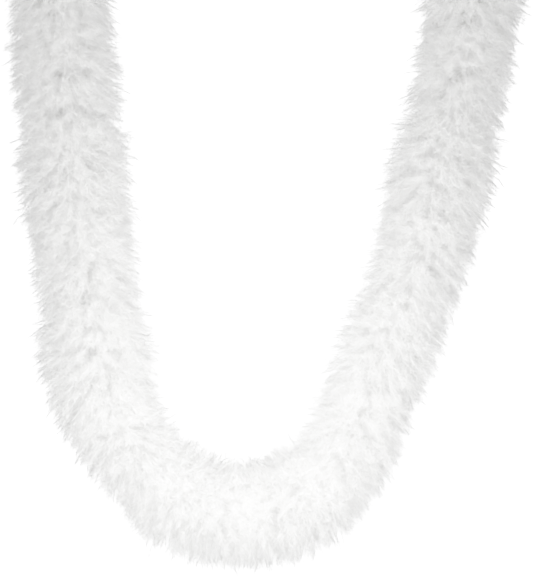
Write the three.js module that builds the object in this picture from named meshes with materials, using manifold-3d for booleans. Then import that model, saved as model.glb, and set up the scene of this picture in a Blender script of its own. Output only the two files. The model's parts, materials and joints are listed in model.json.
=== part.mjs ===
// A white down boa: a limp cotton cord with bundles of down plumes bound to it all the way along.
// It lies on a flat surface in a loose U. Millimetres, +Z up from the surface.
import * as THREE from 'three';
import { mergeVertices } from 'three/addons/utils/BufferGeometryUtils.js';
import Module from 'manifold-3d';

const wasm = await Module();
wasm.setup();

// Cord
const cordDiameter = 3.5;
const cordHeight = 43;        // from the surface up to the middle of the cord, which the down holds up
const sectionSides = 8;       // of the cord and of every ring round it
const clearance = 0.3;        // between a piece and the piece that it goes round

// Where the cord lies, from the tip of the left arm round the bottom of the U to the tip of the right arm
const cordRoute = [
  [-81, 607], [-108, 585], [-135, 553], [-156, 512], [-174, 467], [-186, 418], [-192, 367], [-190, 316],
  [-186, 264], [-182, 212], [-178, 160], [-173, 108], [-167, 54], [-159, 0], [-153, -55], [-143, -105],
  [-115, -150], [-79, -186], [-31, -203], [17, -196], [58, -166], [84, -121], [102, -68],
  [125, -14], [142, 38], [154, 90], [165, 142], [176, 194], [184, 246], [192, 298],
  [200, 350], [204, 402], [200, 454], [187, 502], [166, 545], [138, 580], [106, 607],
];

// Down tufts
const tuftCount = 22;
const firstTuft = 36;         // from each tip of the cord to the middle of its first tuft
const tuftGap = 3;            // along the cord, between the plumes of one tuft and those of the next
const plumeReach = 51;        // from the middle of the cord to the tips of the upright plumes
const leaningReach = 47;      // the same for the plumes that lean along the cord
const uprightLean = 14;       // how far along the cord the tip of an upright plume is
const plumesPerRing = 4;
const plumeWidth = 16;
const plumeThickness = 2;
const quillWidth = 2;
const vaneStart = 0.62;       // where on its length a plume is widest

// Quill butts, laid round the cord, and the thread that binds them down
const collarLength = 17;
const collarThickness = 1.5;
const quillInset = 1.5;       // from the end of the collar to the outermost quill
const quillPitch = 2.8;       // between the two rows of quills at one end of the collar
const bindingGap = 0.4;       // between the thread and the row of quills on either side of it
const bindingThickness = 1;

// Ends of the cord
const tailLength = 4;         // bare cord outside the knot
const knotLength = 8;
const knotDiameter = 10;
const knotShoulder = 2;
const whippingLength = 7;
const whippingThickness = 0.8;
const whippingGap = 1.5;      // between the knot and the whipping

const cordRadius = cordDiameter / 2;
const boreRadius = cordRadius + clearance;
const collarRadius = boreRadius + collarThickness;
const bindingLength = collarLength - 2 * (quillInset + quillPitch + quillWidth / 2 + bindingGap);

const down = new THREE.MeshStandardMaterial({ color: 0xf6f6f4, roughness: 0.95, metalness: 0 });
const cotton = new THREE.MeshStandardMaterial({ color: 0xece8de, roughness: 0.9, metalness: 0 });
const thread = new THREE.MeshStandardMaterial({ color: 0xf4f2ec, roughness: 0.6, metalness: 0 });

const route = new THREE.CatmullRomCurve3(cordRoute.map(([x, y]) => new THREE.Vector3(x, y, cordHeight)));
route.arcLengthDivisions = 2000;
const cordLength = route.getLength();
const tuftPitch = (cordLength - 2 * firstTuft) / (tuftCount - 1);
const tuftReach = (tuftPitch - tuftGap) / 2;

// The stretches of cord that stay straight because a ring sits on them, from the left tip to the right tip
const knotMiddle = tailLength + knotLength / 2;
const whippingMiddle = tailLength + knotLength + whippingGap + whippingLength / 2;
const leftEnd = [stretch(knotMiddle, knotLength), stretch(whippingMiddle, whippingLength)];
const rightEnd = [
  stretch(cordLength - whippingMiddle, whippingLength),
  stretch(cordLength - knotMiddle, knotLength),
];
const tuftStretches = [];
for (let i = 0; i < tuftCount; i++) {
  tuftStretches.push(stretch(firstTuft + i * tuftPitch, collarLength));
}
const stations = cordStations([...leftEnd, ...tuftStretches, ...rightEnd]);

function stretch(middle, length) {
  return { middle, start: middle - length / 2, end: middle + length / 2 };
}

// The places along the cord where it may bend: the ends of each straight stretch, and halfway between
// two stretches that are far apart. Each has its point and the heading of the cord there.
function cordStations(stretches) {
  const list = [{ at: 0 }];
  for (const { start, end } of stretches) {
    const last = list[list.length - 1].at;
    if (start - last > collarLength) {
      list.push({ at: (start + last) / 2 });
    }
    list.push({ at: start, startsStretch: true }, { at: end, endsStretch: true });
  }
  list.push({ at: cordLength });
  for (const station of list) {
    station.point = route.getPointAt(station.at / cordLength);
  }
  for (let i = 0; i < list.length; i++) {
    const before = i > 0 ? headingBetween(list[i - 1], list[i]) : null;
    const after = i < list.length - 1 ? headingBetween(list[i], list[i + 1]) : null;
    if (list[i].startsStretch || before === null) {
      list[i].heading = after;
    } else if (list[i].endsStretch || after === null) {
      list[i].heading = before;
    } else {
      list[i].heading = (before + after) / 2;
    }
  }
  return list;
}

function headingBetween(a, b) {
  return Math.atan2(b.point.y - a.point.y, b.point.x - a.point.x);
}

// Takes a solid built straight, with the cord along Z, and lays it along the route, its Z = 0 at `middle`.
function layAlongCord(geometry, middle) {
  const position = geometry.getAttribute('position');
  const centre = new THREE.Vector3();
  for (let i = 0; i < position.count; i++) {
    const at = middle + position.getZ(i);
    let k = 0;
    while (k < stations.length - 2 && at > stations[k + 1].at) {
      k++;
    }
    const from = stations[k];
    const to = stations[k + 1];
    const share = (at - from.at) / (to.at - from.at);
    const turned = THREE.MathUtils.clamp(share, 0, 1);
    const heading = THREE.MathUtils.lerp(from.heading, to.heading, turned);
    centre.lerpVectors(from.point, to.point, share);
    const side = position.getX(i);
    position.setXYZ(
      i,
      centre.x - side * Math.sin(heading),
      centre.y + side * Math.cos(heading),
      centre.z + position.getY(i),
    );
  }
  return geometry;
}

function polygonPath(radius, path) {
  for (let i = 0; i < sectionSides; i++) {
    const angle = (2 * Math.PI * (i + 0.5)) / sectionSides;
    const x = radius * Math.cos(angle);
    const y = radius * Math.sin(angle);
    if (i === 0) {
      path.moveTo(x, y);
    } else {
      path.lineTo(x, y);
    }
  }
  path.closePath();
  return path;
}

function coreCord() {
  const steps = stations.length - 1;
  const tube = new THREE.ExtrudeGeometry(polygonPath(cordRadius, new THREE.Shape()), {
    depth: steps,
    steps,
    bevelEnabled: false,
  });
  const position = tube.getAttribute('position');
  for (let i = 0; i < position.count; i++) {
    position.setZ(i, stations[Math.round(position.getZ(i))].at);
  }
  return layAlongCord(tube, 0);
}

function ring(innerRadius, thickness, length) {
  const section = polygonPath(innerRadius + thickness, new THREE.Shape());
  section.holes.push(polygonPath(innerRadius, new THREE.Path()));
  const geometry = new THREE.ExtrudeGeometry(section, { depth: length, bevelEnabled: false });
  return geometry.translate(0, 0, -length / 2);
}

function stopperKnot() {
  const half = knotLength / 2;
  const outer = knotDiameter / 2;
  const profile = [
    [boreRadius, -half],
    [outer - knotShoulder, -half],
    [outer, -half + knotShoulder],
    [outer, half - knotShoulder],
    [outer - knotShoulder, half],
    [boreRadius, half],
    [boreRadius, -half],
  ].map(([x, y]) => new THREE.Vector2(x, y));
  const geometry = new THREE.LatheGeometry(profile, sectionSides);
  return geometry.rotateY(Math.PI / sectionSides).rotateX(Math.PI / 2);
}

// One plume: a narrow quill that widens into a flat vane and closes to a point, standing out from the
// cord at `angle`. Its root is inside the collar at `rootAlong`, and its tip is at `tipAlong`, `reach`.
function plume(angle, rootAlong, tipAlong, reach) {
  const root = new THREE.Vector2(rootAlong, boreRadius + collarThickness / 2);
  const tip = new THREE.Vector2(tipAlong, reach);
  const wide = root.clone().lerp(tip, vaneStart);
  const across = tip.clone().sub(root).normalize().rotateAround(new THREE.Vector2(), Math.PI / 2);
  const outline = new THREE.Shape([
    root.clone().addScaledVector(across, quillWidth / 2),
    root.clone().addScaledVector(across, -quillWidth / 2),
    wide.clone().addScaledVector(across, -plumeWidth / 2),
    tip,
    wide.clone().addScaledVector(across, plumeWidth / 2),
  ]);
  const geometry = new THREE.ExtrudeGeometry(outline, { depth: plumeThickness, bevelEnabled: false });
  geometry.translate(0, 0, -plumeThickness / 2);
  const along = new THREE.Vector3(0, 0, 1);
  const outward = new THREE.Vector3(Math.cos(angle), Math.sin(angle), 0);
  const sideways = new THREE.Vector3().crossVectors(along, outward);
  return geometry.applyMatrix4(new THREE.Matrix4().makeBasis(along, outward, sideways));
}

function toSolid(geometry) {
  const bare = geometry.clone();
  bare.deleteAttribute('normal');
  bare.deleteAttribute('uv');
  const merged = mergeVertices(bare, 1e-4);
  return new wasm.Manifold(new wasm.Mesh({
    numProp: 3,
    vertProperties: new Float32Array(merged.getAttribute('position').array),
    triVerts: new Uint32Array(merged.getIndex().array),
  }));
}

function toGeometry(solid) {
  const { vertProperties, triVerts } = solid.getMesh();
  const geometry = new THREE.BufferGeometry();
  geometry.setAttribute('position', new THREE.BufferAttribute(new Float32Array(vertProperties), 3));
  geometry.setIndex(new THREE.BufferAttribute(new Uint32Array(triVerts), 1));
  geometry.computeVertexNormals();
  return geometry;
}

// A tuft built straight: a collar of quill butts with four rows of plumes. The two outer rows lean away
// along the cord, and the two inner rows stand nearly upright, on either side of the thread binding.
function straightTuft() {
  let solid = toSolid(ring(boreRadius, collarThickness, collarLength));
  const outerRow = collarLength / 2 - quillInset;
  const innerRow = outerRow - quillPitch;
  const rowTurn = Math.PI / plumesPerRing;
  const rows = [
    { direction: -1, root: outerRow, tip: tuftReach, reach: leaningReach, turn: rowTurn },
    { direction: -1, root: innerRow, tip: uprightLean, reach: plumeReach, turn: 0 },
    { direction: 1, root: innerRow, tip: uprightLean, reach: plumeReach, turn: rowTurn },
    { direction: 1, root: outerRow, tip: tuftReach, reach: leaningReach, turn: 0 },
  ];
  for (const { direction, root, tip, reach, turn } of rows) {
    for (let i = 0; i < plumesPerRing; i++) {
      const angle = turn + (2 * Math.PI * i) / plumesPerRing;
      solid = solid.add(toSolid(plume(angle, direction * root, direction * tip, reach)));
    }
  }
  return toGeometry(solid);
}

// The surface cuts the lower plumes off flat, as they press on it.
function restOnSurface(geometry) {
  const size = 4 * plumeReach;
  const box = new THREE.Box3().setFromBufferAttribute(geometry.getAttribute('position'));
  const middle = box.getCenter(new THREE.Vector3());
  const slab = new THREE.BoxGeometry(size, size, size).translate(middle.x, middle.y, -size / 2);
  return toGeometry(toSolid(geometry).subtract(toSolid(slab)));
}

const boa = new THREE.Group();
boa.name = 'feather_boa';

function addPiece(name, geometry, material) {
  const piece = new THREE.Mesh(geometry, material);
  piece.name = name;
  boa.add(piece);
}

addPiece('core_cord', coreCord(), cotton);
const tuft = straightTuft();
tuftStretches.forEach(({ middle }, i) => {
  const number = String(i + 1).padStart(2, '0');
  const binding = ring(collarRadius + clearance, bindingThickness, bindingLength);
  addPiece(`down_tuft_${number}`, restOnSurface(layAlongCord(tuft.clone(), middle)), down);
  addPiece(`tuft_binding_${number}`, layAlongCord(binding, middle), thread);
});
const ends = [
  { side: 'left', knot: leftEnd[0], whipping: leftEnd[1] },
  { side: 'right', knot: rightEnd[1], whipping: rightEnd[0] },
];
for (const { side, knot, whipping } of ends) {
  const winding = ring(boreRadius, whippingThickness, whippingLength);
  addPiece(`end_knot_${side}`, layAlongCord(stopperKnot(), knot.middle), cotton);
  addPiece(`end_whipping_${side}`, layAlongCord(winding, whipping.middle), thread);
}

// The origin is the middle of the boa's box, on the surface that it lies on.
const centre = new THREE.Box3().setFromObject(boa).getCenter(new THREE.Vector3());
boa.position.set(-centre.x, -centre.y, 0);
boa.updateMatrixWorld(true);

export default boa;
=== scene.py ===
"""A white down boa, laid in a loose U on a pale surface.

The boa is a limp twisted cord that runs through its whole length. Bundles of down plumes are bound to
it with thread, and the cord is whipped and knotted near each tip. Everything is in metres, +Z up from
the surface that the boa lies on.
"""

from __future__ import annotations

import json
import logging
import math
from dataclasses import dataclass
from enum import Enum
from typing import Any, Sequence, Union

import bpy
import numpy as np
from mathutils import Matrix, Vector

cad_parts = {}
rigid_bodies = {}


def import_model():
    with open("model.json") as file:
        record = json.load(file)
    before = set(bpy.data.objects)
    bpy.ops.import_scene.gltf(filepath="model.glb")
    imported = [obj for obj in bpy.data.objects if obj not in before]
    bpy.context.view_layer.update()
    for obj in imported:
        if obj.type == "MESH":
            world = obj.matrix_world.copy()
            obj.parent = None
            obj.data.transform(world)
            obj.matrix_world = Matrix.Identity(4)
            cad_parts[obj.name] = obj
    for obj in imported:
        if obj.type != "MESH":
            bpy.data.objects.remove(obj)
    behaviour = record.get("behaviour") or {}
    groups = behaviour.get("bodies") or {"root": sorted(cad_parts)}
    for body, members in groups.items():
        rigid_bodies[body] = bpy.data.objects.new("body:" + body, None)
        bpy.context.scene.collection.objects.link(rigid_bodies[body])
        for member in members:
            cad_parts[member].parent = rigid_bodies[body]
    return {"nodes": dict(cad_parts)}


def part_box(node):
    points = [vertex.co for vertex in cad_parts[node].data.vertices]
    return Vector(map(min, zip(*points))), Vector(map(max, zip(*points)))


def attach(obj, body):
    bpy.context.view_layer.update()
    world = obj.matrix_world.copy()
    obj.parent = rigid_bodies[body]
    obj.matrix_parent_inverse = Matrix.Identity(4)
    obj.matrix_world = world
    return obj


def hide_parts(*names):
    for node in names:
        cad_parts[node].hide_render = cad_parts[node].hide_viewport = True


MILLIMETRE = 0.001
UP = Vector((0.0, 0.0, 1.0))
MIX_FIRST, MIX_SECOND = 6, 7  # a Mix node's two colour inputs
COMBINED_CURVE = 3  # the curve that acts on all three colours
GOLDEN_ANGLE = math.pi * (3.0 - math.sqrt(5.0))

# Where the cord lies, in millimetres, from the tip of the left arm round the bend to the right one.
CORD_ROUTE_MM = (
    (-81, 607), (-108, 585), (-135, 553), (-156, 512), (-174, 467), (-186, 418), (-192, 367), (-190, 316),
    (-186, 264), (-182, 212), (-178, 160), (-173, 108), (-167, 54), (-159, 0), (-153, -55), (-143, -105),
    (-115, -150), (-79, -186), (-31, -203), (17, -196), (58, -166), (84, -121), (102, -68),
    (125, -14), (142, 38), (154, 90), (165, 142), (176, 194), (184, 246), (192, 298),
    (200, 350), (204, 402), (200, 454), (187, 502), (166, 545), (138, 580), (106, 607),
)

log = logging.getLogger("boa")

Value = Union[bpy.types.NodeSocket, float, int, bool, str, Sequence[float]]


class Slot(Enum):
    """The record's material slots."""

    DOWN = "down"
    CORD = "cotton_cord"
    THREAD = "binding_thread"


class Side(Enum):
    """The two ends of the boa. The value is the way along the cord that leads out of that end."""

    LEFT = -1
    RIGHT = 1


# --------------------------------------------------------------------------------------------------
# Node graphs
# --------------------------------------------------------------------------------------------------


class Graph:
    """A node tree under construction, with short ways to add, set and link nodes."""

    def __init__(self, tree: bpy.types.NodeTree) -> None:
        """Starts on a tree.

        Args:
            tree: The empty node tree to fill.
        """
        self.tree = tree

    def put(self, socket: bpy.types.NodeSocket, value: Value) -> None:
        """Links a socket to another, or sets its value.

        Args:
            socket: An input socket.
            value: An output socket, or a plain value.
        """
        if isinstance(value, bpy.types.NodeSocket):
            self.tree.links.new(value, socket)
        else:
            socket.default_value = value

    def add(self, kind: str, inputs: dict[Any, Value] | None = None, **settings: Any) -> bpy.types.Node:
        """Adds a node.

        Args:
            kind: The node's type name.
            inputs: Its inputs, each by name, identifier or number.
            **settings: Its own properties.

        Returns:
            The node.
        """
        node = self.tree.nodes.new(kind)
        for name, setting in settings.items():
            setattr(node, name, setting)
        for key, value in (inputs or {}).items():
            self.put(self.find(node, key), value)
        return node

    @staticmethod
    def find(node: bpy.types.Node, key: int | str) -> bpy.types.NodeSocket:
        """Finds an input socket of a node.

        Args:
            node: The node.
            key: The socket's number, identifier or name.

        Returns:
            The input socket.
        """
        if isinstance(key, int):
            return node.inputs[key]
        for socket in node.inputs:
            if socket.identifier == key:
                return socket
        return node.inputs[key]

    def math(self, operation: str, *values: Value) -> bpy.types.NodeSocket:
        """Adds a Math node and returns its result."""
        return self.add("ShaderNodeMath", dict(enumerate(values)), operation=operation).outputs[0]

    def vector(self, operation: str, *values: Value) -> bpy.types.NodeSocket:
        """Adds a Vector Math node and returns its vector."""
        return self.add("ShaderNodeVectorMath", dict(enumerate(values)), operation=operation).outputs[0]

    def scaled(self, vector: Value, factor: Value) -> bpy.types.NodeSocket:
        """Returns a vector times a number."""
        node = self.add("ShaderNodeVectorMath", {0: vector, "Scale": factor}, operation="SCALE")
        return node.outputs[0]

    def combined(self, x: Value, y: Value, z: Value) -> bpy.types.NodeSocket:
        """Returns a vector from its three parts."""
        return self.add("ShaderNodeCombineXYZ", {0: x, 1: y, 2: z}).outputs[0]


class GrowthGraph(Graph):
    """A geometry node tree with named inputs, which is run once on a base object."""

    MOST_DRAWS = 16.0

    def __init__(self, name: str) -> None:
        """Makes the tree with its geometry input and output.

        Args:
            name: The tree's name.
        """
        super().__init__(bpy.data.node_groups.new(name, "GeometryNodeTree"))
        self.tree.interface.new_socket("Geometry", in_out="INPUT", socket_type="NodeSocketGeometry")
        self.tree.interface.new_socket("Geometry", in_out="OUTPUT", socket_type="NodeSocketGeometry")
        self.inputs = self.tree.nodes.new("NodeGroupInput")
        self.outputs = self.tree.nodes.new("NodeGroupOutput")
        self.identifiers: dict[str, str] = {}

    def value(self, name: str, kind: str) -> bpy.types.NodeSocket:
        """Adds a named input to the tree.

        Args:
            name: The input's name.
            kind: Its type, such as Float, Int, Vector, Object, Collection or Material.

        Returns:
            The socket that gives the input's value inside the tree.
        """
        item = self.tree.interface.new_socket(name, in_out="INPUT", socket_type=f"NodeSocket{kind}")
        self.identifiers[name] = item.identifier
        return self.inputs.outputs[name]

    def values(self, kind: str, *names: str) -> list[bpy.types.NodeSocket]:
        """Adds several named inputs of one type, and returns their sockets in order."""
        return [self.value(name, kind) for name in names]

    @staticmethod
    def settings(owner: object, *fields: str) -> dict[str, Any]:
        """Returns some of an owner's fields, each under the name of the tree's input for it."""
        return {field.replace("_", " ").title(): getattr(owner, field) for field in fields}

    def about(self, axis: Sequence[float], angle: Value) -> bpy.types.NodeSocket:
        """Returns the rotation by an angle about an axis."""
        return self.add("FunctionNodeAxisAngleToRotation", {"Axis": axis, "Angle": angle}).outputs[0]

    def rotated(self, pose: Value, by: Value, space: str = "GLOBAL") -> bpy.types.NodeSocket:
        """Returns a rotation that is turned further by another, in global or in local space."""
        turns = {"Rotation": pose, "Rotate By": by}
        return self.add("FunctionNodeRotateRotation", turns, rotation_space=space).outputs[0]

    def between(self, share: Value, start: Value, end: Value) -> bpy.types.NodeSocket:
        """Returns the number that lies a share of the way, from 0 to 1, from a start to an end."""
        return self.add("ShaderNodeMapRange", {"Value": share, "To Min": start, "To Max": end}).outputs[0]

    def random(self, low: Value, high: Value, seed: Value, number: int) -> bpy.types.NodeSocket:
        """Returns a random number for each element.

        Args:
            low: The least value.
            high: The greatest value.
            seed: The tree's seed.
            number: Which of the tree's draws this is, so that no two are alike.

        Returns:
            The random number.
        """
        own_seed = self.math("MULTIPLY_ADD", seed, self.MOST_DRAWS, float(number))
        inputs = {"Min_001": low, "Max_001": high, "Seed": own_seed}
        return self.add("FunctionNodeRandomValue", inputs, data_type="FLOAT").outputs[1]

    def finish(self, geometry: bpy.types.NodeSocket, material: Value) -> None:
        """Ends the tree with Realize Instances, smooth shading and Set Material.

        Args:
            geometry: The geometry that the tree has made.
            material: The material input.
        """
        realized = self.add("GeometryNodeRealizeInstances", {"Geometry": geometry}).outputs[0]
        smooth = self.add("GeometryNodeSetShadeSmooth", {"Geometry": realized}).outputs[0]
        dressed = self.add("GeometryNodeSetMaterial", {"Geometry": smooth, "Material": material})
        self.tree.links.new(dressed.outputs[0], self.outputs.inputs[0])

    def grow(self, name: str, base: bpy.types.Mesh, values: dict[str, Any]) -> bpy.types.Object:
        """Runs the tree on a base mesh.

        Args:
            name: The new object's name.
            base: The mesh that the tree starts from.
            values: The tree's inputs by name.

        Returns:
            An object with the result as a plain mesh and no modifier.
        """
        host = bpy.data.objects.new(f"{name}.host", base)
        bpy.context.scene.collection.objects.link(host)
        modifier = host.modifiers.new(self.tree.name, "NODES")
        modifier.node_group = self.tree
        for key, value in values.items():
            modifier[self.identifiers[key]] = value
        depsgraph = bpy.context.evaluated_depsgraph_get()
        mesh = bpy.data.meshes.new_from_object(host.evaluated_get(depsgraph), depsgraph=depsgraph)
        bpy.data.objects.remove(host)
        bpy.data.meshes.remove(base)
        mesh.name = name
        piece = bpy.data.objects.new(name, mesh)
        bpy.context.scene.collection.objects.link(piece)
        return piece


def polyline(name: str, points: Sequence[Vector]) -> bpy.types.Mesh:
    """Makes a mesh of one chain of edges.

    Args:
        name: The mesh's name.
        points: The chain's points in order.

    Returns:
        The mesh.
    """
    mesh = bpy.data.meshes.new(name)
    mesh.from_pydata([tuple(p) for p in points], [(i, i + 1) for i in range(len(points) - 1)], [])
    return mesh


# --------------------------------------------------------------------------------------------------
# Finishes
# --------------------------------------------------------------------------------------------------


def new_material(name: str) -> tuple[bpy.types.Material, Graph, bpy.types.Node]:
    """Makes an empty material with a Principled shader.

    Args:
        name: The material's name.

    Returns:
        The material, its graph and its Principled node.
    """
    material = bpy.data.materials.new(name)
    material.use_nodes = True
    graph = Graph(material.node_tree)
    shader = material.node_tree.nodes["Principled BSDF"]
    return material, graph, shader


@dataclass(frozen=True)
class DownFinish:
    """Soft white down, with painted shade that darkens each barb from its tip towards its root deep in
    the fluff, and slight differences from plume to plume.
    """

    name: str = "white_down"
    painted_shade_root_colour: tuple[float, float, float] = (0.93, 0.93, 0.925)
    tip_colour: tuple[float, float, float] = (0.975, 0.975, 0.97)
    plume_tone: float = 0.02
    mottle: float = 0.02
    mottle_scale: float = 55.0
    mottle_detail: float = 2.0
    roughness: float = 0.9
    translucency: float = 0.62
    specular: float = 0.25

    def material(self) -> bpy.types.Material:
        """Builds the material.

        Returns:
            The material.
        """
        material, graph, shader = new_material(self.name)
        along = graph.add("ShaderNodeAttribute", attribute_name="tipward").outputs["Fac"]
        tone = graph.add("ShaderNodeAttribute", attribute_name="plume_tone").outputs["Fac"]
        place = graph.add("ShaderNodeTexCoord").outputs["Object"]
        spots = {"Vector": place, "Scale": self.mottle_scale, "Detail": self.mottle_detail}
        mottle = graph.add("ShaderNodeTexNoise", spots)
        # Painted shade: the colour darkens from each barb's tip to its root, deep in the fluff
        blend = graph.add("ShaderNodeMix", {"Factor": along}, data_type="RGBA")
        blend.inputs[MIX_FIRST].default_value = (*self.painted_shade_root_colour, 1.0)
        blend.inputs[MIX_SECOND].default_value = (*self.tip_colour, 1.0)
        darker = graph.math("MULTIPLY_ADD", tone, -self.plume_tone, 1.0)
        shade = graph.math("MULTIPLY_ADD", mottle.outputs["Fac"], -self.mottle, darker)
        colour = graph.scaled(blend.outputs[2], shade)
        graph.put(shader.inputs["Base Color"], colour)
        shader.inputs["Roughness"].default_value = self.roughness
        shader.inputs["Specular IOR Level"].default_value = self.specular
        through = graph.add("ShaderNodeBsdfTranslucent", {"Color": colour})
        layers = {0: self.translucency, 1: shader.outputs[0], 2: through.outputs[0]}
        thin = graph.add("ShaderNodeMixShader", layers)
        output = material.node_tree.nodes["Material Output"]
        graph.put(output.inputs["Surface"], thin.outputs[0])
        return material


@dataclass(frozen=True)
class YarnFinish:
    """Spun cotton: fine fibres that follow the twist, with painted shade that darkens the grooves between
    the plies.
    """

    name: str
    colour: tuple[float, float, float]
    groove_shade_colour: tuple[float, float, float]
    fibre_scale: float = 1800.0
    fibre_detail: float = 4.0
    fibre_share: float = 0.35
    groove_shade_share: float = 0.8
    roughness: float = 0.85
    sheen: float = 0.3
    bump: float = 0.4
    bump_distance: float = 0.0001

    def material(self) -> bpy.types.Material:
        """Builds the material.

        Returns:
            The material.
        """
        material, graph, shader = new_material(self.name)
        place = graph.add("ShaderNodeTexCoord").outputs["Object"]
        height = graph.add("ShaderNodeAttribute", attribute_name="ply_height").outputs["Fac"]
        spun = {"Vector": place, "Scale": self.fibre_scale, "Detail": self.fibre_detail}
        fibres = graph.add("ShaderNodeTexNoise", spun).outputs["Fac"]
        # Painted shade: the colour darkens towards the grooves between the plies, where ply_height is low
        plies = graph.math("MULTIPLY", height, self.groove_shade_share)
        lightness = graph.math("MULTIPLY_ADD", fibres, self.fibre_share, plies)
        blend = graph.add("ShaderNodeMix", {"Factor": lightness}, data_type="RGBA")
        blend.inputs[MIX_FIRST].default_value = (*self.groove_shade_colour, 1.0)
        blend.inputs[MIX_SECOND].default_value = (*self.colour, 1.0)
        graph.put(shader.inputs["Base Color"], blend.outputs[2])
        relief = graph.add(
            "ShaderNodeBump", {"Height": fibres, "Strength": self.bump, "Distance": self.bump_distance}
        )
        graph.put(shader.inputs["Normal"], relief.outputs[0])
        shader.inputs["Roughness"].default_value = self.roughness
        shader.inputs["Sheen Weight"].default_value = self.sheen
        return material


# --------------------------------------------------------------------------------------------------
# The cord's route
# --------------------------------------------------------------------------------------------------


class CordRoute:
    """The smooth line that the middle of the cord follows."""

    STEPS = 24

    def __init__(self, points: Sequence[Vector]) -> None:
        """Draws a centripetal Catmull-Rom curve through the points and measures it.

        Args:
            points: The route's points, in metres.
        """
        chain = [2 * points[0] - points[1], *points, 2 * points[-1] - points[-2]]
        samples: list[Vector] = []
        for i in range(len(points) - 1):
            samples.extend(self._span(*chain[i : i + 4]))
        samples.append(points[-1].copy())
        self.samples = np.array(samples)
        steps = np.linalg.norm(np.diff(self.samples, axis=0), axis=1)
        self.distances = np.concatenate([[0.0], np.cumsum(steps)])
        self.length = float(self.distances[-1])

    def _span(self, a: Vector, b: Vector, c: Vector, d: Vector) -> list[Vector]:
        """Samples the curve from b to c, with b and without c.

        Args:
            a: The point before the span.
            b: The span's first point.
            c: The span's last point.
            d: The point after the span.

        Returns:
            The samples.
        """
        before, inside, after = ((q - p).length ** 0.5 for p, q in ((a, b), (b, c), (c, d)))
        leave = ((b - a) / before - (c - a) / (before + inside) + (c - b) / inside) * inside
        arrive = ((c - b) / inside - (d - b) / (inside + after) + (d - c) / after) * inside
        span = []
        for step in range(self.STEPS):
            t = step / self.STEPS
            point = (2 * t**3 - 3 * t**2 + 1) * b + (t**3 - 2 * t**2 + t) * leave
            span.append(point + (3 * t**2 - 2 * t**3) * c + (t**3 - t**2) * arrive)
        return span

    def point(self, at: float) -> Vector:
        """Finds a point of the route, or of its straight continuation past a tip.

        Args:
            at: The distance along the cord from the left tip.

        Returns:
            The point.
        """
        inside = min(max(at, 0.0), self.length)
        here = Vector([float(np.interp(inside, self.distances, self.samples[:, k])) for k in range(3)])
        return here + (at - inside) * self.heading(inside)

    def heading(self, at: float) -> Vector:
        """Finds the cord's direction.

        Args:
            at: The distance along the cord from the left tip.

        Returns:
            The direction towards the right tip, of length one.
        """
        reach = 0.5 * MILLIMETRE
        low, high = max(at - reach, 0.0), min(at + reach, self.length)
        ends = [
            Vector([float(np.interp(s, self.distances, self.samples[:, k])) for k in range(3)])
            for s in (low, high)
        ]
        return (ends[1] - ends[0]).normalized()

    def nearest(self, place: Vector) -> float:
        """Returns how far along the cord the route passes closest to a place."""
        return float(self.distances[np.argmin(np.linalg.norm(self.samples - np.array(place), axis=1))])

    def stretch(self, start: float, end: float, step: float) -> list[Vector]:
        """Returns evenly spaced points from start to end, about a step apart."""
        count = max(2, round((end - start) / step) + 1)
        return [self.point(start + (end - start) * i / (count - 1)) for i in range(count)]


def route_in_frame() -> CordRoute:
    """Lays the route where the CAD cord lies.

    Returns:
        The cord's route in the part's frame.
    """
    low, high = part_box("core_cord")
    flat = [Vector((x, y, 0.0)) * MILLIMETRE for x, y in CORD_ROUTE_MM]
    drawn = CordRoute(flat).samples
    middle = (drawn.min(axis=0) + drawn.max(axis=0)) / 2
    shift = (low + high) / 2 - Vector(middle)
    return CordRoute([point + shift for point in flat])


# --------------------------------------------------------------------------------------------------
# Down
# --------------------------------------------------------------------------------------------------


@dataclass
class Barb:
    """One barb of down: a long thin triangle that leans over and closes to a point.

    It is drawn one long and one wide, and each plume sets its real size.
    """

    curl: float = 0.15

    def build(self) -> bpy.types.Object:
        """Builds the barb along +Z, leaning towards +Y.

        Returns:
            The barb, which isn't linked to the scene.
        """
        mesh = bpy.data.meshes.new("barb")
        mesh.from_pydata([(-0.5, 0.0, 0.0), (0.5, 0.0, 0.0), (0.0, self.curl, 1.0)], [], [(0, 1, 2)])
        attribute = mesh.attributes.new("tipward", "FLOAT", "POINT")
        attribute.data.foreach_set("value", [0.0, 0.0, 1.0])
        return bpy.data.objects.new("barb", mesh)


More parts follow.
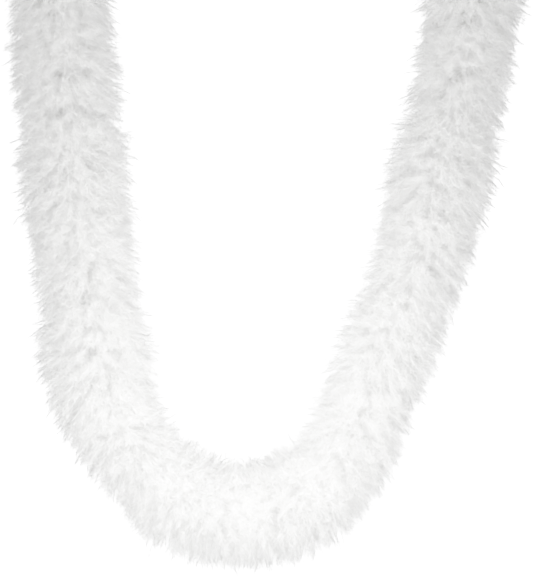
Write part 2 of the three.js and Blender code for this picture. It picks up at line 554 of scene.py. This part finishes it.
@dataclass
class Plume:
    """A down plume: a fine curved shaft with soft barbs all round it."""

    name: str = "soft_plume"
    shaft_length: float = 0.044
    shaft_bend: float = 0.28
    shaft_radius: float = 0.00012
    barb_count: int = 42
    barb_start: float = 0.3
    tip_crowding: float = 0.55
    root_barb: float = 0.014
    tip_barb: float = 0.008
    root_angle: float = math.radians(60)
    tip_angle: float = math.radians(56)
    scatter: float = math.radians(30)
    barb_width: float = 0.00026
    variants: int = 8
    shaft_taper: float = 0.8
    shaft_sides: int = 3
    step_jitter: float = 0.02
    turn_jitter: float = 0.5
    twist_jitter: float = 0.9
    barb_range: tuple[float, float] = (0.72, 1.15)
    length_range: tuple[float, float] = (0.96, 1.04)
    bend_range: tuple[float, float] = (0.5, 1.5)
    tip_range: tuple[float, float] = (0.85, 1.2)
    draw_seed: int = 7

    def graph(self) -> GrowthGraph:
        """Builds the node tree that grows a plume along +Z.

        Returns:
            The tree.
        """
        g = GrowthGraph("plume_growth")
        barb = g.value("Barb", "Object")
        length, bend, radius = g.values("Float", "Shaft Length", "Shaft Bend", "Shaft Radius")
        start, tip_crowding, width = g.values("Float", "Barb Start", "Tip Crowding", "Barb Width")
        root_barb, tip_barb = g.values("Float", "Root Barb", "Tip Barb")
        root_angle, tip_angle, scatter = g.values("Float", "Root Angle", "Tip Angle", "Scatter")
        count, seed = g.values("Int", "Barb Count", "Seed")
        material = g.value("Material", "Material")

        # The shaft, thinner towards its tip
        line = g.add("GeometryNodeCurvePrimitiveLine", {"End": g.combined(0.0, 0.0, length)})
        line = g.add("GeometryNodeResampleCurve", {"Curve": line.outputs[0], "Count": 3})
        place = g.add("GeometryNodeInputPosition").outputs[0]
        z = g.add("ShaderNodeSeparateXYZ", {0: place}).outputs[2]
        share = g.math("DIVIDE", z, length)
        sideways = g.math("MULTIPLY", g.math("MULTIPLY", share, share), g.math("MULTIPLY", bend, length))
        offset = g.combined(sideways, 0.0, 0.0)
        bent = g.add("GeometryNodeSetPosition", {"Geometry": line.outputs[0], "Offset": offset})
        ring = {"Resolution": self.shaft_sides, "Radius": radius}
        section = g.add("GeometryNodeCurvePrimitiveCircle", ring).outputs[0]
        parameter = g.add("GeometryNodeSplineParameter").outputs["Factor"]
        thin = g.math("MULTIPLY_ADD", parameter, -self.shaft_taper, 1.0)
        sweep = {"Curve": bent.outputs[0], "Profile Curve": section, "Scale": thin, "Fill Caps": True}
        shaft = g.add("GeometryNodeCurveToMesh", sweep)

        # The barbs, each further round and further up the shaft than the last
        index = g.add("GeometryNodeInputIndex").outputs[0]
        step = g.math("DIVIDE", index, g.math("SUBTRACT", count, 1.0))
        jitter = g.random(-self.step_jitter, self.step_jitter, seed, 1)
        share = g.math("POWER", g.math("MAXIMUM", g.math("ADD", step, jitter), 0.0), tip_crowding)
        t = g.between(share, start, 1.0)
        t_squared = g.math("MULTIPLY", t, t)
        root_x = g.math("MULTIPLY", t_squared, g.math("MULTIPLY", bend, length))
        root = g.combined(root_x, 0.0, g.math("MULTIPLY", t, length))
        points = g.add("GeometryNodePoints", {"Count": count, "Position": root})
        unsteady = g.math("MULTIPLY", scatter, g.random(-1.0, 1.0, seed, 2))
        tilt = g.math("ADD", g.between(t, root_angle, tip_angle), unsteady)
        turn_jitter = g.random(-self.turn_jitter, self.turn_jitter, seed, 3)
        turn = g.math("ADD", g.math("MULTIPLY", index, GOLDEN_ANGLE), turn_jitter)
        twist = g.random(-self.twist_jitter, self.twist_jitter, seed, 4)
        slope = g.math("ARCTANGENT", g.math("MULTIPLY", g.math("MULTIPLY", t, bend), 2.0))
        pose = g.rotated(g.about((0, 0, 1), twist), g.about((1, 0, 0), tilt))
        pose = g.rotated(pose, g.about((0, 0, 1), turn))
        pose = g.rotated(pose, g.about((0, 1, 0), slope))
        size = g.math("MULTIPLY", g.between(t, root_barb, tip_barb), g.random(*self.barb_range, seed, 5))
        strip = g.add("GeometryNodeObjectInfo", {"Object": barb, "As Instance": True})
        barbs = g.add(
            "GeometryNodeInstanceOnPoints",
            {
                "Points": points.outputs[0],
                "Instance": strip.outputs["Geometry"],
                "Rotation": pose,
                "Scale": g.combined(width, size, size),
            },
        )
        joined = g.add("GeometryNodeJoinGeometry")
        g.tree.links.new(shaft.outputs[0], joined.inputs[0])
        g.tree.links.new(barbs.outputs[0], joined.inputs[0])
        g.finish(joined.outputs[0], material)
        return g

    def build(self, plumes: bpy.types.Collection, finish: bpy.types.Material) -> None:
        """Grows the variants of this plume.

        Args:
            plumes: The collection to put them in.
            finish: The down's material.
        """
        graph = self.graph()
        fixed = graph.settings(
            self,
            "shaft_radius", "barb_count", "barb_start", "tip_crowding", "root_barb", "root_angle",
            "tip_angle", "scatter", "barb_width",
        )
        barb = Barb().build()
        draw = np.random.default_rng(self.draw_seed)
        for i in range(self.variants):
            plume = graph.grow(
                f"{self.name}_{i + 1}",
                polyline("seed", [Vector(), UP * self.shaft_length]),
                {
                    **fixed,
                    "Barb": barb,
                    "Shaft Length": self.shaft_length * float(draw.uniform(*self.length_range)),
                    "Shaft Bend": self.shaft_bend * float(draw.uniform(*self.bend_range)),
                    "Tip Barb": self.tip_barb * float(draw.uniform(*self.tip_range)),
                    "Seed": i,
                    "Material": finish,
                },
            )
            bpy.context.scene.collection.objects.unlink(plume)
            plumes.objects.link(plume)


@dataclass
class DownTuft:
    """A bundle of plumes, bound to the cord by their quills and spreading out all round it."""

    plume_count: int = 1480
    kinds: tuple[Plume, ...] = (
        Plume(
            name="pointed_plume",
            shaft_length=0.046,
            barb_start=0.62,
            tip_crowding=0.8,
            root_barb=0.012,
            tip_barb=0.007,
            root_angle=math.radians(20),
            tip_angle=math.radians(7),
            scatter=math.radians(5),
            variants=4,
        ),
        Plume(),
        Plume(
            name="under_down",
            shaft_length=0.022,
            barb_start=0.05,
            root_barb=0.016,
            tip_barb=0.014,
            root_angle=math.radians(84),
            tip_angle=math.radians(52),
            scatter=math.radians(24),
            variants=2,
        ),
    )
    # How full each tuft is, from the left tip to the right one
    fullness: tuple[float, ...] = (
        *(1.0, 1.02, 0.98, 1.0, 1.02, 1.03, 1.08, 1.0, 1.1, 0.9, 1.0),
        *(1.02, 0.93, 0.96, 0.94, 1.03, 0.94, 1.0, 1.02, 0.98, 1.0, 1.02),
    )
    root_spread: float = 0.042
    tip_spread: float = 0.32
    end_lean: float = 0.9
    root_radius: float = 0.0028
    reach: float = 0.055
    top_crowding: float = 0.45
    side_crowding: float = 0.14
    pointed_limit: float = 0.4
    lock_depth: float = 0.5
    lock_scale: float = 75.0
    lock_detail: float = 1.0
    wisp_length: float = 0.15
    wisp_rarity: float = 10.0
    end_plume_count: int = 2300
    sink: float = 0.86
    waist: float = 0.09
    comb: float = 1.0
    laying: float = 0.2
    sag: float = 0.5
    wildness: float = 0.6
    top_wildness: float = 0.3
    waviness: float = 0.003
    gathering: float = 0.009
    wave_scale: float = 90.0
    wave_detail: float = 2.0
    surface_gap: float = 0.0004
    place_jitter: float = 0.06
    angle_jitter: float = 0.25
    lean_jitter: float = 0.22
    size_range: tuple[float, float] = (0.96, 1.04)
    kind_margin: float = 0.001
    comb_bias: float = 0.3
    stretch_reach: float = 1.2
    stretch_step: float = 0.002

    def graph(self) -> GrowthGraph:
        """Builds the node tree that sets plumes round a stretch of cord.

        Returns:
            The tree.
        """
        g = GrowthGraph("tuft_growth")
        plumes = g.value("Plumes", "Collection")
        count = g.value("Plume Count", "Int")
        root_share, tip_spread, end_lean = g.values("Float", "Root Share", "Tip Spread", "End Lean")
        root_radius, fullness, waist = g.values("Float", "Root Radius", "Fullness", "Waist")
        reach, laying, wildness = g.values("Float", "Reach", "Laying", "Wildness")
        top_wildness, crowding = g.values("Float", "Top Wildness", "Top Crowding")
        side_crowding, pointed_limit = g.values("Float", "Side Crowding", "Pointed Limit")
        lock_depth, lock_scale, wisp_length = g.values("Float", "Lock Depth", "Lock Scale", "Wisp Length")
        wisp_rarity, sink, cord_height = g.values("Float", "Wisp Rarity", "Sink", "Cord Height")
        waviness, gathering, wave_scale = g.values("Float", "Waviness", "Gathering", "Wave Scale")
        surface = g.value("Surface", "Float")
        comb = g.value("Comb", "Vector")
        seed = g.value("Seed", "Int")
        material = g.value("Material", "Material")

        # Where each quill is bound, and which way its plume points
        cord = g.add("GeometryNodeMeshToCurve", {"Mesh": g.inputs.outputs[0]}).outputs[0]
        index = g.add("GeometryNodeInputIndex").outputs[0]
        step = g.math("DIVIDE", g.math("ADD", index, 0.5), count)
        place_jitter = g.random(-self.place_jitter, self.place_jitter, seed, 1)
        u = g.math("ADD", g.math("MULTIPLY_ADD", step, 2.0, -1.0), place_jitter)
        factor = g.math("MULTIPLY_ADD", g.math("MULTIPLY", u, root_share), 0.5, 0.5)
        line = g.add("GeometryNodeSampleCurve", {"Curves": cord, "Factor": factor}, mode="FACTOR")
        along = line.outputs["Tangent"]
        side = g.vector("NORMALIZE", g.vector("CROSS_PRODUCT", (0.0, 0.0, 1.0), along))
        angle_jitter = g.random(-self.angle_jitter, self.angle_jitter, seed, 2)
        angle = g.math("ADD", g.math("MULTIPLY", index, GOLDEN_ANGLE), angle_jitter)
        upward = g.math("MULTIPLY", crowding, g.math("COSINE", angle))
        sideways = g.math("MULTIPLY", side_crowding, g.math("SINE", g.math("MULTIPLY", angle, 2.0)))
        angle = g.math("SUBTRACT", g.math("ADD", angle, upward), sideways)
        aside = g.scaled(side, g.math("COSINE", angle))
        outward = g.vector("ADD", aside, g.scaled((0.0, 0.0, 1.0), g.math("SINE", angle)))
        rising = g.math("MAXIMUM", g.math("SINE", angle), 0.0)
        lean_jitter = g.random(-self.lean_jitter, self.lean_jitter, seed, 3)
        lean = g.math("MULTIPLY_ADD", u, tip_spread, lean_jitter)
        outer = g.math("MAXIMUM", g.math("MULTIPLY", u, end_lean), 0.0)
        outer = g.math("MULTIPLY", outer, g.math("SIGN", end_lean))
        lean = g.math("ADD", lean, outer)
        leaning = g.vector("ADD", outward, g.scaled(along, lean))
        laid = g.scaled(comb, g.math("MULTIPLY", g.math("SUBTRACT", 1.0, rising), laying))
        direction = g.vector("NORMALIZE", g.vector("ADD", leaning, laid))
        root = g.vector("ADD", line.outputs["Position"], g.scaled(outward, root_radius))
        points = g.add("GeometryNodePoints", {"Count": count, "Position": root}).outputs[0]
        pose = g.add("FunctionNodeAlignRotationToVector", {"Vector": direction}, axis="Z")
        pose = g.add(
            "FunctionNodeAlignRotationToVector",
            {"Rotation": pose.outputs[0], "Vector": comb},
            axis="X",
            pivot_axis="Z",
        )
        freedom = g.math("MULTIPLY_ADD", rising, top_wildness, wildness)
        turn = g.math("MULTIPLY", g.random(-1.0, 1.0, seed, 4), freedom)
        pose = g.rotated(pose.outputs[0], g.about((0, 0, 1), turn), "LOCAL")
        narrowing = g.math("MULTIPLY", g.math("MULTIPLY", u, u), waist)
        size = g.math("SUBTRACT", g.random(*self.size_range, seed, 5), narrowing)
        size = g.math("MULTIPLY", size, fullness)

        # Locks of longer and shorter plumes at the sides, with a few long wisps among them
        tip = g.vector("ADD", root, g.scaled(direction, reach))
        locks = {"Vector": tip, "Scale": lock_scale, "Detail": self.lock_detail}
        lock = g.add("ShaderNodeTexNoise", locks).outputs["Fac"]
        lock = g.math("MULTIPLY", g.math("SUBTRACT", lock, 0.5), lock_depth)
        wisp = g.math("MULTIPLY", g.math("POWER", g.random(0.0, 1.0, seed, 8), wisp_rarity), wisp_length)
        longer = g.math("MULTIPLY", g.math("ADD", lock, wisp), g.math("SUBTRACT", 1.0, rising))
        size = g.math("ADD", size, longer)
        kinds = g.add(
            "GeometryNodeCollectionInfo",
            {"Collection": plumes, "Separate Children": True, "Reset Children": True},
        )
        soft_only = g.math("GREATER_THAN", rising, pointed_limit)
        first = g.math("MULTIPLY", soft_only, float(self.kinds[0].variants))
        last = sum(kind.variants for kind in self.kinds) - self.kind_margin
        kind = g.math("FLOOR", g.random(first, last, seed, 6))
        placed = g.add(
            "GeometryNodeInstanceOnPoints",
            {
                "Points": points,
                "Instance": kinds.outputs[0],
                "Pick Instance": True,
                "Instance Index": kind,
                "Rotation": pose,
                "Scale": g.combined(size, size, size),
            },
        ).outputs[0]
        tone = g.random(0.0, 1.0, seed, 7)
        toned = g.add(
            "GeometryNodeStoreNamedAttribute",
            {"Geometry": placed, "Name": "plume_tone", "Value": tone},
            data_type="FLOAT",
            domain="INSTANCE",
        ).outputs[0]
        loose = g.add("GeometryNodeRealizeInstances", {"Geometry": toned}).outputs[0]

        # Waves that gather the side tips, the weight that settles the upper down, and the surface that
        # presses the lower down
        place = g.add("GeometryNodeInputPosition").outputs[0]
        gap = g.add("GeometryNodeProximity", {"Target": g.inputs.outputs[0]}, target_element="EDGES")
        share = g.math("DIVIDE", gap.outputs["Distance"], reach)
        waves = {"Vector": place, "Scale": wave_scale, "Detail": self.wave_detail}
        noise = g.add("ShaderNodeTexNoise", waves)
        wave = g.vector("SUBTRACT", noise.outputs["Color"], (0.5, 0.5, 0.5))
        lift = g.math("SUBTRACT", g.add("ShaderNodeSeparateXYZ", {0: place}).outputs[2], cord_height)
        beside = g.between(g.math("DIVIDE", lift, reach), 1.0, 0.0)
        gathered = g.math("MULTIPLY_ADD", gathering, beside, waviness)
        moved = g.vector("ADD", place, g.scaled(wave, g.math("MULTIPLY", gathered, share)))
        parts = g.add("ShaderNodeSeparateXYZ", {0: moved})
        above = g.math("MAXIMUM", g.math("SUBTRACT", parts.outputs[2], cord_height), 0.0)
        settling = g.math("MULTIPLY", above, g.math("SUBTRACT", 1.0, sink))
        sunk = g.math("SUBTRACT", parts.outputs[2], settling)
        height = g.math("MAXIMUM", sunk, surface)
        settled = g.combined(parts.outputs[0], parts.outputs[1], height)
        laid = g.add("GeometryNodeSetPosition", {"Geometry": loose, "Position": settled}).outputs[0]
        g.finish(laid, material)
        return g

    def build(
        self, nodes: Sequence[str], route: CordRoute, finish: bpy.types.Material
    ) -> list[bpy.types.Object]:
        """Makes every tuft of the boa, each where its thread binding is.

        Args:
            nodes: The names of the CAD nodes.
            route: The cord's route.
            finish: The down's material.

        Returns:
            The tufts from the left tip to the right tip.
        """
        plumes = bpy.data.collections.new("plumes")
        for kind in self.kinds:
            kind.build(plumes, finish)
        graph = self.graph()
        fixed = graph.settings(
            self,
            "tip_spread", "root_radius", "waist", "reach", "laying", "wildness", "top_wildness",
            "top_crowding", "side_crowding", "lock_depth", "lock_scale", "wisp_length", "wisp_rarity",
            "sink", "waviness", "gathering", "wave_scale",
        )
        names = [name for name in nodes if name.startswith("down_tuft_")]
        tufts = []
        for number, name in enumerate(names):
            low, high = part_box(name.replace("down_tuft", "tuft_binding"))
            middle = route.nearest((low + high) / 2)
            half = self.stretch_reach * self.reach
            stretch = route.stretch(middle - half, middle + half, self.stretch_step)
            heading = route.heading(middle)
            outward = {0: -self.end_lean, len(names) - 1: self.end_lean}.get(number, 0.0)
            tuft = graph.grow(
                name.replace("down_tuft", "plumes"),
                polyline("stretch", stretch),
                {
                    **fixed,
                    "Plumes": plumes,
                    "Plume Count": self.end_plume_count if outward else self.plume_count,
                    "Root Share": self.root_spread / half,
                    "End Lean": outward,
                    "Fullness": self.fullness[number],
                    "Comb": (0.0, -self.comb * abs(heading.y) - self.comb_bias, -self.sag),
                    "Pointed Limit": -1.0 if outward else self.pointed_limit,
                    "Cord Height": route.point(middle).z,
                    "Surface": self.surface_gap,
                    "Seed": number + 1,
                    "Material": finish,
                },
            )
            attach(tuft, "root")
            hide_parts(name)
            tufts.append(tuft)
            log.info("%s: %d triangles", tuft.name, len(tuft.data.loops) - 2 * len(tuft.data.polygons))
        for plume in list(plumes.objects):
            bpy.data.objects.remove(plume)
        bpy.data.collections.remove(plumes)
        return tufts


# --------------------------------------------------------------------------------------------------
# Cord, thread and knots
# --------------------------------------------------------------------------------------------------


@dataclass
class TwistedTube:
    """A yarn of plies twisted together, as one closed tube with a lobe for each ply."""

    radius: float
    plies: int = 3
    lobe_depth: float = 0.16
    twist_pitch: float = 0.014
    sides: int = 12

    def build(self, name: str, line: Sequence[Vector], finish: bpy.types.Material) -> bpy.types.Object:
        """Sweeps the yarn along a line.

        Args:
            name: The new object's name.
            line: The line's points.
            finish: The yarn's material.

        Returns:
            The object.
        """
        points = [Vector(p) for p in line]
        vertices: list[Vector] = []
        heights: list[float] = []
        travelled = 0.0
        tangent = (points[1] - points[0]).normalized()
        across = tangent.cross(UP if abs(tangent.z) < 0.9 else Vector((1.0, 0.0, 0.0))).normalized()
        for i, point in enumerate(points):
            if i:
                travelled += (point - points[i - 1]).length
            ahead = points[min(i + 1, len(points) - 1)] - points[max(i - 1, 0)]
            turned = ahead.normalized()
            across = tangent.rotation_difference(turned) @ across
            across = (across - turned * across.dot(turned)).normalized()
            tangent = turned
            other = tangent.cross(across)
            phase = 2 * math.pi * travelled / self.twist_pitch
            for k in range(self.sides):
                angle = 2 * math.pi * k / self.sides
                ply = 0.5 + 0.5 * math.cos(self.plies * (angle - phase))
                radius = self.radius * (1.0 - self.lobe_depth * (1.0 - ply))
                vertices.append(point + radius * (math.cos(angle) * across + math.sin(angle) * other))
                heights.append(ply)
        faces: list[tuple[int, ...]] = []
        for i in range(len(points) - 1):
            for k in range(self.sides):
                a, b = i * self.sides + k, i * self.sides + (k + 1) % self.sides
                faces.append((a, b, b + self.sides, a + self.sides))
        faces.append(tuple(reversed(range(self.sides))))
        faces.append(tuple(range(len(vertices) - self.sides, len(vertices))))
        mesh = bpy.data.meshes.new(name)
        mesh.from_pydata([tuple(v) for v in vertices], [], faces)
        mesh.attributes.new("ply_height", "FLOAT", "POINT").data.foreach_set("value", heights)
        mesh.polygons.foreach_set("use_smooth", [True] * len(mesh.polygons))
        mesh.materials.append(finish)
        piece = bpy.data.objects.new(name, mesh)
        bpy.context.scene.collection.objects.link(piece)
        return piece


@dataclass
class CoreCord:
    """The limp cotton cord that the whole boa is bound to."""

    diameter: float = 0.0035
    step: float = 0.0012
    path_step: float = 0.006
    knot_turns: float = 2.0
    knot_coil: float = 0.86
    knot_steps: int = 72
    knot_twist_pitch: float = 0.010
    tuck_rate: float = 6.0
    tuck_radius: float = 0.45

    def build(self, route: CordRoute, finish: bpy.types.Material) -> bpy.types.Object:
        """Args:
            route: The cord's route.
            finish: The cotton's material.

        Returns:
            The cord.
        """
        line = route.stretch(0.0, route.length, self.step)
        cord = TwistedTube(radius=self.diameter / 2, plies=2).build("twisted_core_cord", line, finish)
        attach(cord, "root")
        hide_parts("core_cord")
        return cord

    def build_knot(self, side: Side, route: CordRoute, finish: bpy.types.Material) -> bpy.types.Object:
        """Makes the stopper knot at one end: the cord's own turns round itself.

        Args:
            side: Which end of the boa.
            route: The cord's route.
            finish: The cotton's material.

        Returns:
            The knot.
        """
        node = f"end_knot_{side.name.lower()}"
        low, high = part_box(node)
        middle = route.nearest((low + high) / 2)
        frame = along_frame(route, middle)
        coil_radius = self.knot_coil * self.diameter
        line = []
        for i in range(self.knot_steps + 1):
            t = i / self.knot_steps
            angle = 2 * math.pi * self.knot_turns * t
            tuck = math.sin(0.5 * math.pi * min(1.0, self.tuck_rate * t, self.tuck_rate * (1.0 - t)))
            radius = coil_radius * (self.tuck_radius + (1.0 - self.tuck_radius) * tuck)
            z = coil_radius * (2.0 * t - 1.0)
            line.append(frame @ Vector((radius * math.cos(angle), radius * math.sin(angle), z)))
        tube = TwistedTube(radius=self.diameter / 2, plies=2, twist_pitch=self.knot_twist_pitch)
        knot = tube.build(f"stopper_knot_{side.name.lower()}", line, finish)
        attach(knot, "root")
        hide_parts(node)
        return knot


def along_frame(route: CordRoute, at: float) -> Matrix:
    """Finds the frame at a point of the cord, with its Z along the cord and its Y up.

    Args:
        route: The cord's route.
        at: The distance along the cord from the left tip.

    Returns:
        The matrix that puts a piece drawn round +Z there.
    """
    z = route.heading(at)
    x = UP.cross(z).normalized()
    y = z.cross(x)
    return Matrix.Translation(route.point(at)) @ Matrix((x, y, z)).transposed().to_4x4()


@dataclass
class ThreadWinding:
    """Turns of thread, wound tightly round the quills or round the bare cord."""

    thread_diameter: float = 0.0007
    binding_length: float = 0.0056
    whipping_length: float = 0.007
    points_per_turn: int = 14
    thread_sides: int = 6
    thread_radius: float = 0.52  # in thread diameters, so that the turns touch

    def graph(self) -> GrowthGraph:
        """Builds the node tree that winds a coil of thread along +Z.

        Returns:
            The tree.
        """
        g = GrowthGraph("thread_winding")
        radius, length, turns = g.values("Float", "Coil Radius", "Length", "Turns")
        thread = g.value("Thread Radius", "Float")
        material = g.value("Material", "Material")
        coil = g.add(
            "GeometryNodeCurveSpiral",
            {
                "Resolution": self.points_per_turn,
                "Rotations": turns,
                "Start Radius": radius,
                "End Radius": radius,
                "Height": length,
            },
        )
        ring = {"Resolution": self.thread_sides, "Radius": thread}
        section = g.add("GeometryNodeCurvePrimitiveCircle", ring)
        tube = g.add(
            "GeometryNodeCurveToMesh",
            {"Curve": coil.outputs[0], "Profile Curve": section.outputs[0], "Fill Caps": True},
        )
        g.finish(tube.outputs[0], material)
        return g

    def build(
        self, nodes: Sequence[str], route: CordRoute, finish: bpy.types.Material
    ) -> list[bpy.types.Object]:
        """Winds every binding and whipping, each where its CAD ring is.

        Args:
            nodes: The names of the CAD nodes.
            route: The cord's route.
            finish: The thread's material.

        Returns:
            The windings.
        """
        graph = self.graph()
        windings = []
        lengths = {"tuft_binding_": self.binding_length, "end_whipping_": self.whipping_length}
        for node in (node for node in nodes if node.startswith(tuple(lengths))):
            length = next(size for stem, size in lengths.items() if node.startswith(stem))
            low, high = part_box(node)
            at = route.nearest((low + high) / 2)
            outer = (high.z - low.z) / 2
            turns = math.floor(length / self.thread_diameter) - 1
            winding = graph.grow(
                node.replace("tuft_binding", "thread_binding").replace("end_whipping", "thread_whipping"),
                polyline("seed", [Vector(), UP]),
                {
                    "Coil Radius": outer - self.thread_diameter / 2,
                    "Length": turns * self.thread_diameter,
                    "Turns": float(turns),
                    "Thread Radius": self.thread_radius * self.thread_diameter,
                    "Material": finish,
                },
            )
            centred = Matrix.Translation((0.0, 0.0, -turns * self.thread_diameter / 2))
            winding.data.transform(along_frame(route, at) @ centred)
            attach(winding, "root")
            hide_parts(node)
            windings.append(winding)
        return windings


# --------------------------------------------------------------------------------------------------
# Studio
# --------------------------------------------------------------------------------------------------


@dataclass
class Studio:
    """The pale surface, the soft light and the camera that looks straight down on the boa."""

    view_height: float = 0.5202
    distance: float = 2.6
    far_limit: float = 100.0
    sensor: float = 0.024
    floor_size: float = 12.0
    floor_colour: tuple[float, float, float] = (0.12, 0.12, 0.12)
    floor_glow: float = 1.7
    white_level: float = 1.5
    response: tuple[tuple[float, float], ...] = (
        *((0.5, 0.61), (0.7, 0.73), (0.85, 0.805)),
        *((1.0, 0.87), (1.2, 0.94)),
    )
    sky_overhead: float = 1.88
    sky_low: float = 0.1
    lamp_power: float = 2.9
    lamp_size: float = 0.3
    lamp_height: float = 0.42
    lamp_offset: tuple[float, float] = (-0.01, -0.14)

    def build(self, route: CordRoute) -> None:
        """Sets up the surface, light and camera.

        Args:
            route: The cord's route, whose own origin is what the camera is centred on.
        """
        first = Vector((*CORD_ROUTE_MM[0], 0.0)) * MILLIMETRE
        centre = route.point(0.0) - first
        self._camera(centre)
        self._surface()
        self._lights(centre)
        self._exposure(bpy.context.scene.view_settings)

    def _camera(self, centre: Vector) -> None:
        """Places the camera straight over the centre, so that view_height fills its frame at the cord.

        Args:
            centre: The point that the camera looks at.
        """
        data = bpy.data.cameras.new("camera")
        data.sensor_fit = "VERTICAL"
        data.sensor_height = self.sensor / MILLIMETRE
        data.lens = data.sensor_height * self.distance / self.view_height
        data.clip_end = self.far_limit
        camera = bpy.data.objects.new("camera", data)
        camera.location = (centre.x, centre.y, centre.z + self.distance)
        bpy.context.scene.collection.objects.link(camera)
        bpy.context.scene.camera = camera

    def _surface(self) -> None:
        """Makes the pale surface that the boa lies on."""
        half = self.floor_size / 2
        mesh = bpy.data.meshes.new("surface")
        corners = [(-half, -half, 0.0), (half, -half, 0.0), (half, half, 0.0), (-half, half, 0.0)]
        mesh.from_pydata(corners, [], [(0, 1, 2, 3)])
        material, graph, shader = new_material("pale_surface")
        seen = graph.add("ShaderNodeLightPath").outputs["Is Camera Ray"]
        shader.inputs["Base Color"].default_value = (*self.floor_colour, 1.0)
        shader.inputs["Roughness"].default_value = 1.0
        shader.inputs["Specular IOR Level"].default_value = 0.0
        shader.inputs["Emission Color"].default_value = (1.0, 1.0, 1.0, 1.0)
        graph.put(shader.inputs["Emission Strength"], graph.math("MULTIPLY", seen, self.floor_glow))
        mesh.materials.append(material)
        surface = bpy.data.objects.new("surface", mesh)
        bpy.context.scene.collection.objects.link(surface)

    def _exposure(self, view: bpy.types.ColorManagedViewSettings) -> None:
        """Sets a high-key response, which rolls the highlights off gently up to white.

        Args:
            view: The scene's view settings.
        """
        view.view_transform = "Standard"
        view.look = "None"
        view.use_curve_mapping = True
        view.curve_mapping.white_level = (self.white_level,) * 3
        response = view.curve_mapping.curves[COMBINED_CURVE]
        for light, shown in self.response:
            response.points.new(light / self.white_level, shown)
        view.curve_mapping.update()

    def _lights(self, centre: Vector) -> None:
        """Makes the sky, which is brightest overhead, and the soft lamp over the bend of the boa.

        Args:
            centre: The point that the camera looks at.
        """
        world = bpy.data.worlds.new("sky")
        world.use_nodes = True
        background = world.node_tree.nodes["Background"]
        background.inputs["Color"].default_value = (1.0, 1.0, 1.0, 1.0)
        graph = Graph(world.node_tree)
        toward = graph.add("ShaderNodeTexCoord").outputs["Generated"]
        rise = graph.add("ShaderNodeSeparateXYZ", {0: toward}).outputs[2]
        limits = {"Value": rise, "To Min": self.sky_low, "To Max": self.sky_overhead}
        graph.put(background.inputs["Strength"], graph.add("ShaderNodeMapRange", limits).outputs[0])
        bpy.context.scene.world = world
        data = bpy.data.lights.new("lamp", "AREA")
        data.shape = "DISK"
        data.size = self.lamp_size
        data.energy = self.lamp_power
        lamp = bpy.data.objects.new("lamp", data)
        lamp.location = (centre.x + self.lamp_offset[0], centre.y + self.lamp_offset[1], self.lamp_height)
        bpy.context.scene.collection.objects.link(lamp)


# --------------------------------------------------------------------------------------------------


def main() -> None:
    """Builds the boa round its CAD frame."""
    logging.basicConfig(level=logging.INFO, format="%(name)s: %(message)s")
    nodes = sorted(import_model()["nodes"])
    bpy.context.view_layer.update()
    route = route_in_frame()
    Studio().build(route)

    down = DownFinish().material()
    cotton = YarnFinish("cotton_yarn", (0.90, 0.88, 0.83), (0.62, 0.59, 0.53)).material()
    thread = YarnFinish("white_thread", (0.93, 0.92, 0.90), (0.70, 0.69, 0.66), roughness=0.6).material()

    cord = CoreCord()
    log.info("cord: %.3f m", route.length)
    cord.build(route, cotton)
    for side in Side:
        log.info("knot: %s", cord.build_knot(side, route, cotton).name)
    log.info("windings: %d", len(ThreadWinding().build(nodes, route, thread)))
    log.info("tufts: %d", len(DownTuft().build(nodes, route, down)))


if __name__ == "__main__":
    main()
